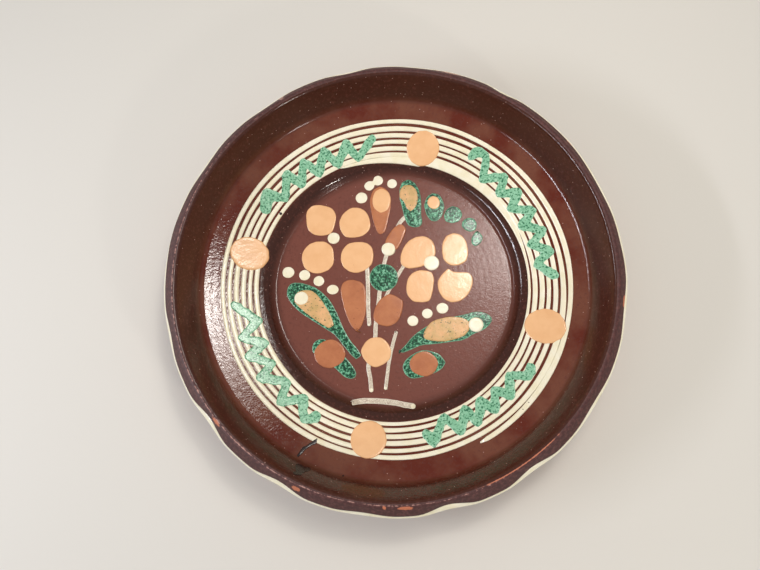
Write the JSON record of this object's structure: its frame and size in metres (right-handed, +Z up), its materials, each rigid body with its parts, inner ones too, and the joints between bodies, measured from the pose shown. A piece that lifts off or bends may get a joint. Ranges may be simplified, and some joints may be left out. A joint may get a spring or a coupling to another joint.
{
  "type": "decorative plate",
  "caption": "Round earthenware plate with a thumb-scalloped lip, stepped well, spiral band on the flange and a bouquet laid on in coloured slips.",
  "frame": {"origin": "on the plate's axis, at the level of the table that the foot stands on", "axes": "+Z up out of the bowl; +Y towards the top of the painted bouquet; +X to its right"},
  "size_m": [0.24, 0.24, 0.042],
  "materials": {
    "earthenware": "bare fired red clay",
    "brown_slip": "dark brown slip under clear glaze, matt on the lip",
    "cream_slip": "cream slip under clear glaze",
    "peach_slip": "peach slip under clear glaze",
    "terracotta_slip": "terracotta slip under clear glaze",
    "dark_green_slip": "speckled copper green under clear glaze",
    "mint_green_slip": "thin copper green over cream, speckled, under clear glaze"
  },
  "bodies": {
    "root": {"clay_body": "earthenware", "brown_slip_coat": "brown_slip", "cream_edge_band": "cream_slip", "cream_spiral_line": "cream_slip", "ring_dot_top": "peach_slip", "ring_dot_left": "peach_slip", "ring_dot_bottom": "peach_slip", "ring_dot_right": "peach_slip", "zigzag_upper_right": "mint_green_slip", "zigzag_upper_left": "mint_green_slip", "zigzag_lower_left": "mint_green_slip", "zigzag_lower_right": "mint_green_slip", "stem_main": "cream_slip", "stem_left": "cream_slip", "stem_lower_right": "cream_slip", "ground_line": "cream_slip", "petal_upper_left_outer": "peach_slip", "petal_upper_left_inner": "peach_slip", "petal_lower_left_outer": "peach_slip", "petal_lower_left_inner": "peach_slip", "petal_upper_right_inner": "peach_slip", "petal_upper_right_outer": "peach_slip", "petal_lower_right_inner": "peach_slip", "petal_lower_right_outer": "peach_slip", "petal_of_base": "peach_slip", "top_bud": "terracotta_slip", "stem_sheath": "terracotta_slip", "pod_left": "terracotta_slip", "pod_right": "terracotta_slip", "berry_left": "terracotta_slip", "berry_right": "terracotta_slip", "leaf_tall": "dark_green_slip", "leaf_second": "dark_green_slip", "leaf_third": "dark_green_slip", "leaf_trailing_pair": "dark_green_slip", "leaf_long_left": "dark_green_slip", "leaf_long_right": "dark_green_slip", "leaf_of_left_berry": "dark_green_slip", "leaf_of_right_berry": "dark_green_slip", "heart_of_top_bud": "peach_slip", "heart_of_leaf_tall": "peach_slip", "heart_of_leaf_second": "peach_slip", "heart_of_leaf_long_left": "peach_slip", "heart_of_leaf_long_right": "peach_slip", "flower_centre": "dark_green_slip", "dot_beside_bud": "cream_slip", "dot_right_of_bud": "cream_slip", "dot_between_left_petals": "cream_slip", "dot_on_stem": "cream_slip", "dot_between_right_petals": "cream_slip", "dot_left_row_1": "cream_slip", "dot_left_row_2": "cream_slip", "dot_left_row_3": "cream_slip", "dot_left_row_4": "cream_slip", "dot_right_row_1": "cream_slip", "dot_right_row_2": "cream_slip", "dot_right_row_3": "cream_slip", "dot_on_left_leaf": "cream_slip", "dot_on_right_leaf": "cream_slip", "dot_pair_over_bud": "cream_slip"}
  },
  "joints": []
}
